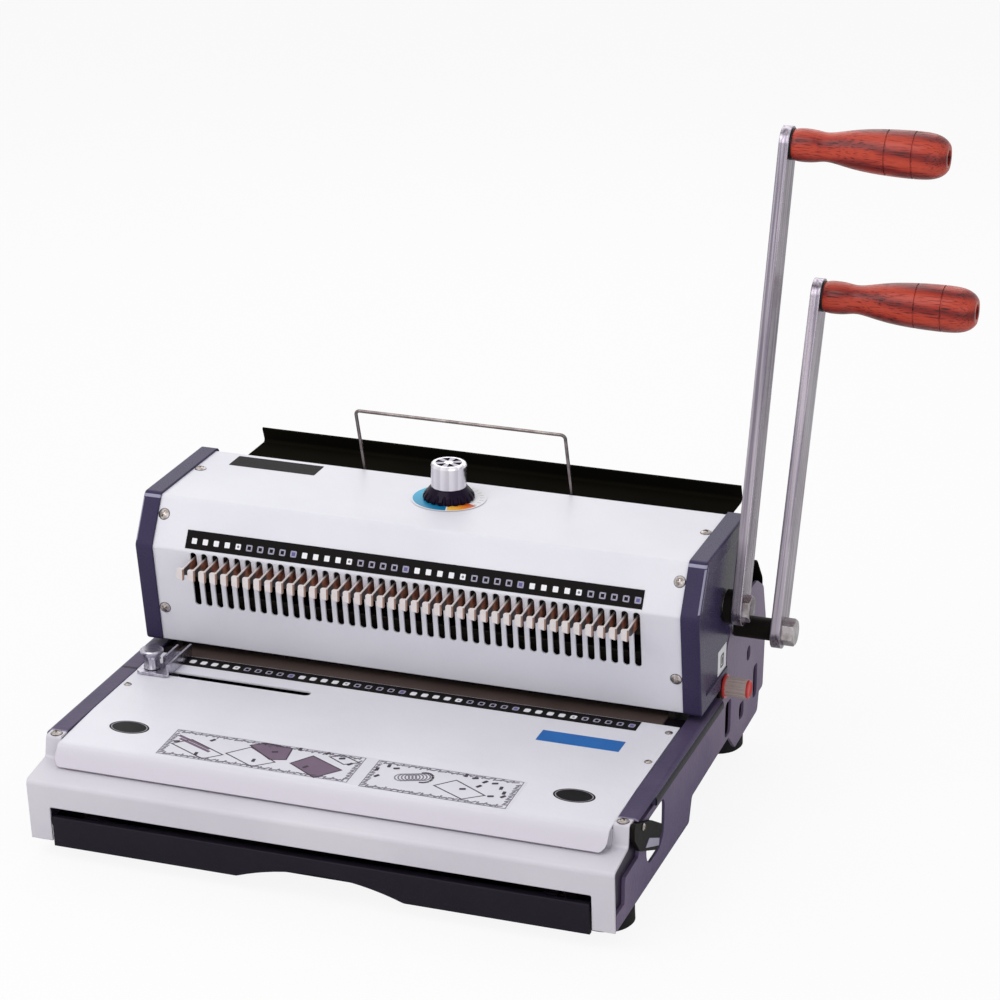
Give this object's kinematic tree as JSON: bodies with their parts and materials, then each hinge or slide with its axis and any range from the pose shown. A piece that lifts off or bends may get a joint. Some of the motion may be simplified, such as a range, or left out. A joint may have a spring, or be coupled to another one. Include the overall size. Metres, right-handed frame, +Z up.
{
  "type": "wire binding machine",
  "caption": "Desk-top wire binding machine: flat feed table, slotted head with a row of wire hooks, size dial, chip drawer and two side levers with turned grips.",
  "frame": {"origin": "middle of the whole machine's bounding box at rest, on the desk under the feet", "axes": "+X to the right along the hole row towards the levers, +Y to the back, +Z up"},
  "size_m": [0.5672, 0.3806, 0.4724],
  "materials": {
    "black_rubber": "matt",
    "dark_paint": "satin powder coat",
    "dark_moulding": "satin",
    "drawer_plastic": "matt",
    "white_paint": "satin powder coat",
    "black_paint": "satin",
    "zinc_steel": "zinc plated",
    "machined_steel": "machined",
    "polished_steel": "polished",
    "hook_steel": "nickel plated",
    "bronze": "sintered",
    "black_plastic": "satin",
    "scale_black": "printed film",
    "dial_print": "printed film",
    "grey_plastic": "satin",
    "red_plastic": "gloss",
    "stained_wood": "lacquered"
  },
  "bodies": {
    "chassis": {"rubber_feet": "black_rubber", "side_plate_left": "dark_paint", "side_plate_right": "dark_paint", "side_rails": "dark_paint", "front_panel": "white_paint", "feed_table": "white_paint", "margin_bearing": "black_paint", "base_pan": "zinc_steel", "rear_cover": "black_paint", "drawer_guides": "zinc_steel", "side_frame_left": "zinc_steel", "side_frame_right": "zinc_steel", "tie_rods": "zinc_steel", "shaft_bushes": "bronze", "die_block": "machined_steel", "punch_guide_plate": "machined_steel", "head_cover": "white_paint", "head_end_cover_left": "dark_moulding", "head_end_cover_right": "dark_moulding", "hole_scales": "scale_black", "screws": "polished_steel", "rear_shelf": "black_paint", "shelf_brackets": "black_paint", "bail_lugs": "polished_steel", "dial_scale": "dial_print"},
    "chip_drawer": {"chip_drawer": "drawer_plastic"},
    "punch_lever": {"punch_shaft": "machined_steel", "punch_pinions": "machined_steel", "punch_hub": "black_paint", "punch_lever_bar": "polished_steel", "punch_lever_fasteners": "polished_steel", "punch_grip_washer": "black_plastic"},
    "punch_grip": {"punch_grip": "stained_wood"},
    "punch_slide": {"punch_bar": "machined_steel", "punch_pins": "machined_steel", "punch_racks": "machined_steel", "rack_screws": "zinc_steel"},
    "closing_lever": {"closing_shaft": "machined_steel", "closing_pinions": "machined_steel", "closing_sleeve": "black_paint", "closing_lever_bar": "polished_steel", "closing_lever_fasteners": "polished_steel", "closing_grip_washer": "black_plastic"},
    "closing_grip": {"closing_grip": "stained_wood"},
    "hook_slide": {"hook_bar": "machined_steel", "wire_hooks": "hook_steel", "closing_yokes": "machined_steel"},
    "size_dial": {"dial_skirt": "black_plastic", "dial_cap": "polished_steel", "dial_spindle": "machined_steel"},
    "bail": {"wire_bail": "polished_steel"},
    "edge_guide": {"edge_guide": "black_plastic", "guide_clamp": "zinc_steel"},
    "guide_knob": {"guide_knob": "black_plastic"},
    "margin_knob": {"margin_knob": "grey_plastic", "margin_knob_rings": "red_plastic", "margin_spindle": "machined_steel"},
    "depth_stop": {"depth_stop": "machined_steel"},
    "catch_lever": {"catch_lever": "black_paint"}
  },
  "joints": [
    {"name": "punch_lever_pull", "type": "hinge", "parent": "chassis", "child": "punch_lever", "pos_m": [-0.0706, 0.06539, 0.145], "axis": [1, 0, 0], "range_deg": [0, 76]},
    {"name": "punch_grip_spin", "type": "hinge", "parent": "punch_lever", "child": "punch_grip", "pos_m": [0.1541, 0.15426, 0.45595], "axis": [1, 0, 0], "continuous": true},
    {"name": "punch_stroke", "type": "slide", "parent": "chassis", "child": "punch_slide", "axis": [0, 0, -1], "range_m": [0, 0.01393]},
    {"name": "closing_lever_pull", "type": "hinge", "parent": "chassis", "child": "closing_lever", "pos_m": [-0.0706, 0.09239, 0.12], "axis": [1, 0, 0], "range_deg": [0, 80]},
    {"name": "closing_grip_spin", "type": "hinge", "parent": "closing_lever", "child": "closing_grip", "pos_m": [0.1756, 0.17388, 0.34319], "axis": [1, 0, 0], "continuous": true},
    {"name": "hook_stroke", "type": "slide", "parent": "chassis", "child": "hook_slide", "axis": [0, 0, -1], "range_m": [0, 0.0199]},
    {"name": "size_dial_turn", "type": "hinge", "parent": "chassis", "child": "size_dial", "pos_m": [-0.0706, 0.07539, 0.201], "axis": [0, 0, 1], "range_deg": [-150, 150]},
    {"name": "bail_swing", "type": "hinge", "parent": "chassis", "child": "bail", "pos_m": [-0.0706, 0.11789, 0.185], "axis": [1, 0, 0], "range_deg": [-100, 0]},
    {"name": "edge_guide_slide", "type": "slide", "parent": "chassis", "child": "edge_guide", "axis": [1, 0, 0], "range_m": [0, 0.116]},
    {"name": "guide_knob_turn", "type": "hinge", "parent": "edge_guide", "child": "guide_knob", "pos_m": [-0.2566, -0.03411, 0.086], "axis": [0, 0, 1], "range_deg": [-180, 180]},
    {"name": "margin_knob_turn", "type": "hinge", "parent": "chassis", "child": "margin_knob", "pos_m": [-0.0706, 0.06839, 0.0825], "axis": [1, 0, 0], "range_deg": [-27, 27]},
    {"name": "depth_stop_shift", "type": "slide", "parent": "chassis", "child": "depth_stop", "axis": [0, 1, 0], "range_m": [-0.0016, 0.0016]},
    {"name": "drawer_pull", "type": "slide", "parent": "chassis", "child": "chip_drawer", "axis": [0, -1, 0], "range_m": [0, 0.15]},
    {"name": "catch_lift", "type": "hinge", "parent": "chassis", "child": "catch_lever", "pos_m": [0.1384, -0.13961, 0.0695], "axis": [1, 0, 0], "range_deg": [0, 12]}
  ],
  "couplings": [
    {"joint": "punch_stroke", "follows": "punch_lever_pull", "m_per_rad": 0.0105},
    {"joint": "hook_stroke", "follows": "closing_lever_pull", "m_per_rad": 0.01425},
    {"joint": "margin_knob_turn", "follows": "depth_stop_shift", "rad_per_m": -285.71}
  ]
}
